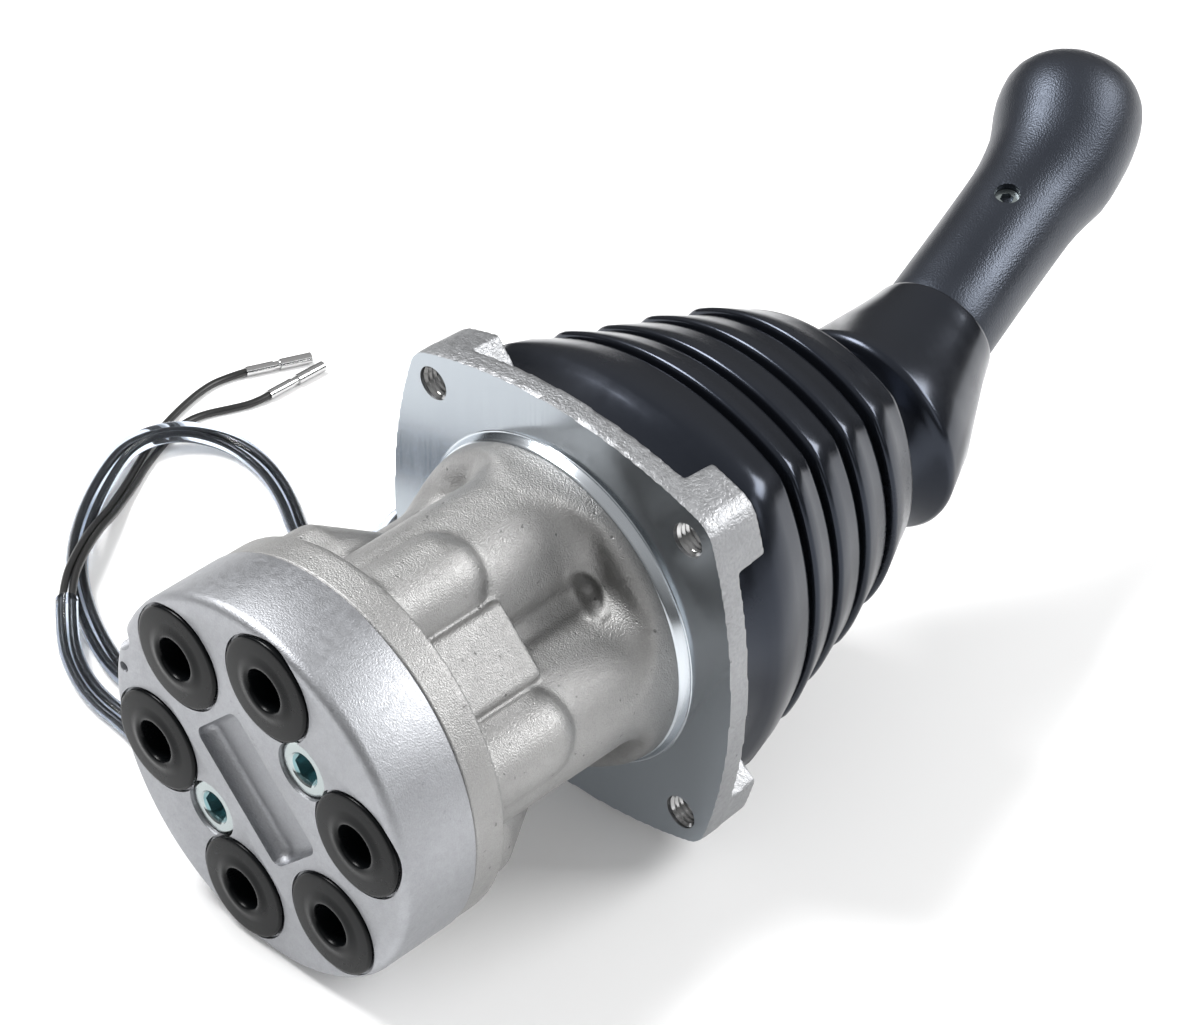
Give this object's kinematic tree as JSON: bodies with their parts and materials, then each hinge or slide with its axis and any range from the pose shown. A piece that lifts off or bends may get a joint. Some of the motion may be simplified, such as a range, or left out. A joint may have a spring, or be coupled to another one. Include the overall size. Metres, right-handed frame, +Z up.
{
  "type": "hydraulic pilot joystick valve",
  "caption": "Hydraulic pilot valve worked by a joystick: cast body with a square mounting flange, ported end cover, bellows boot over a universal joint, and a bent grip with a thumb button.",
  "frame": {"origin": "Centre of the machined mounting face, on the valve's axis. The valve lies on its port cover's rim and its flange's lower side, as in the picture.", "axes": "+Y runs along the object from the port cover to the grip (the valve's own axis is 4.5 degrees off it, because the object lies), +Z up, +X to the right of the flange."},
  "size_m": [0.2212, 0.3057, 0.1073],
  "materials": {
    "cast_aluminium": "die cast and shot blasted, machined on the flange face and the spigot",
    "zinc_steel": "bright zinc plated",
    "black_plug": "smooth moulded plastic, slightly glossy",
    "seal_rubber": "nitrile rubber",
    "steel": "machined steel",
    "bushing_brass": "machined",
    "ground_steel": "ground and polished",
    "spring_steel": "oiled spring wire",
    "boot_rubber": "glossy moulded rubber",
    "grip_plastic": "leather-grained soft plastic",
    "button_plastic": "smooth plastic",
    "grommet_rubber": "moulded rubber",
    "clear_sleeve": "clear soft vinyl tube",
    "wire_vinyl": "black wire insulation"
  },
  "bodies": {
    "housing": {"valve_body": "cast_aluminium", "port_cover": "cast_aluminium", "cover_screws": "zinc_steel", "port_plugs": "black_plug", "port_seal_rings": "seal_rubber", "retainer_plate": "steel", "plate_screws": "zinc_steel", "wiper_seals": "seal_rubber", "bushing_rings": "seal_rubber", "joint_base": "steel", "boot": "boot_rubber", "cable_grommet": "grommet_rubber", "cable_sleeve": "clear_sleeve", "wire_1": "wire_vinyl", "wire_2": "wire_vinyl", "terminal_1": "zinc_steel", "terminal_2": "zinc_steel", "guide_bushing_right": "bushing_brass", "guide_bushing_lower": "bushing_brass", "guide_bushing_left": "bushing_brass", "guide_bushing_upper": "bushing_brass", "return_spring_right": "spring_steel", "return_spring_lower": "spring_steel", "return_spring_left": "spring_steel", "return_spring_upper": "spring_steel"},
    "cross": {"joint_cross": "steel", "cross_pins": "steel"},
    "lever": {"joint_yoke": "steel", "actuating_disc": "steel", "disc_nut": "steel", "lever_rod": "steel", "grip": "grip_plastic", "set_screw": "zinc_steel", "button_switch": "button_plastic"},
    "button": {"push_button": "button_plastic"},
    "plunger_right": {"pusher_right": "ground_steel", "spring_seat_right": "ground_steel", "metering_spring_right": "spring_steel"},
    "spool_right": {"spool_right": "ground_steel"},
    "plunger_lower": {"pusher_lower": "ground_steel", "spring_seat_lower": "ground_steel", "metering_spring_lower": "spring_steel"},
    "spool_lower": {"spool_lower": "ground_steel"},
    "plunger_left": {"pusher_left": "ground_steel", "spring_seat_left": "ground_steel", "metering_spring_left": "spring_steel"},
    "spool_left": {"spool_left": "ground_steel"},
    "plunger_upper": {"pusher_upper": "ground_steel", "spring_seat_upper": "ground_steel", "metering_spring_upper": "spring_steel"},
    "spool_upper": {"spool_upper": "ground_steel"}
  },
  "joints": [
    {"name": "tilt_side", "type": "hinge", "parent": "housing", "child": "cross", "pos_m": [0, 0.02672, 0.00211], "axis": [1, 0, 0], "range_deg": [-19, 19], "stiffness_Nm_per_rad": 3, "deforming": ["boot"]},
    {"name": "tilt_fore", "type": "hinge", "parent": "cross", "child": "lever", "pos_m": [0, 0.02672, 0.00211], "axis": [0, 0.0786, -0.9969], "range_deg": [-19, 19], "stiffness_Nm_per_rad": 3, "deforming": ["boot"]},
    {"name": "button_press", "type": "slide", "parent": "lever", "child": "button", "axis": [0.2144, -0.9331, -0.2887], "range_m": [0, 0.002], "stiffness_N_per_m": 300},
    {"name": "plunge_right", "type": "slide", "parent": "housing", "child": "plunger_right", "axis": [0, 0.9969, 0.0786], "range_m": [-0.0082, 0.0082], "deforming": ["return_spring_right", "metering_spring_right"]},
    {"name": "meter_right", "type": "slide", "parent": "housing", "child": "spool_right", "axis": [0, 0.9969, 0.0786], "range_m": [-0.0011, 0.0011]},
    {"name": "plunge_lower", "type": "slide", "parent": "housing", "child": "plunger_lower", "axis": [0, 0.9969, 0.0786], "range_m": [-0.0082, 0.0082], "deforming": ["return_spring_lower", "metering_spring_lower"]},
    {"name": "meter_lower", "type": "slide", "parent": "housing", "child": "spool_lower", "axis": [0, 0.9969, 0.0786], "range_m": [-0.0011, 0.0011]},
    {"name": "plunge_left", "type": "slide", "parent": "housing", "child": "plunger_left", "axis": [0, 0.9969, 0.0786], "range_m": [-0.0082, 0.0082], "deforming": ["return_spring_left", "metering_spring_left"]},
    {"name": "meter_left", "type": "slide", "parent": "housing", "child": "spool_left", "axis": [0, 0.9969, 0.0786], "range_m": [-0.0011, 0.0011]},
    {"name": "plunge_upper", "type": "slide", "parent": "housing", "child": "plunger_upper", "axis": [0, 0.9969, 0.0786], "range_m": [-0.0082, 0.0082], "deforming": ["return_spring_upper", "metering_spring_upper"]},
    {"name": "meter_upper", "type": "slide", "parent": "housing", "child": "spool_upper", "axis": [0, 0.9969, 0.0786], "range_m": [-0.0011, 0.0011]}
  ],
  "couplings": [
    {"joint": "plunge_right", "follows": "tilt_fore", "m_per_rad": -0.024},
    {"joint": "meter_right", "follows": "tilt_fore", "m_per_rad": -0.003},
    {"joint": "plunge_lower", "follows": "tilt_side", "m_per_rad": 0.024},
    {"joint": "meter_lower", "follows": "tilt_side", "m_per_rad": 0.003},
    {"joint": "plunge_left", "follows": "tilt_fore", "m_per_rad": 0.024},
    {"joint": "meter_left", "follows": "tilt_fore", "m_per_rad": 0.003},
    {"joint": "plunge_upper", "follows": "tilt_side", "m_per_rad": -0.024},
    {"joint": "meter_upper", "follows": "tilt_side", "m_per_rad": -0.003}
  ]
}
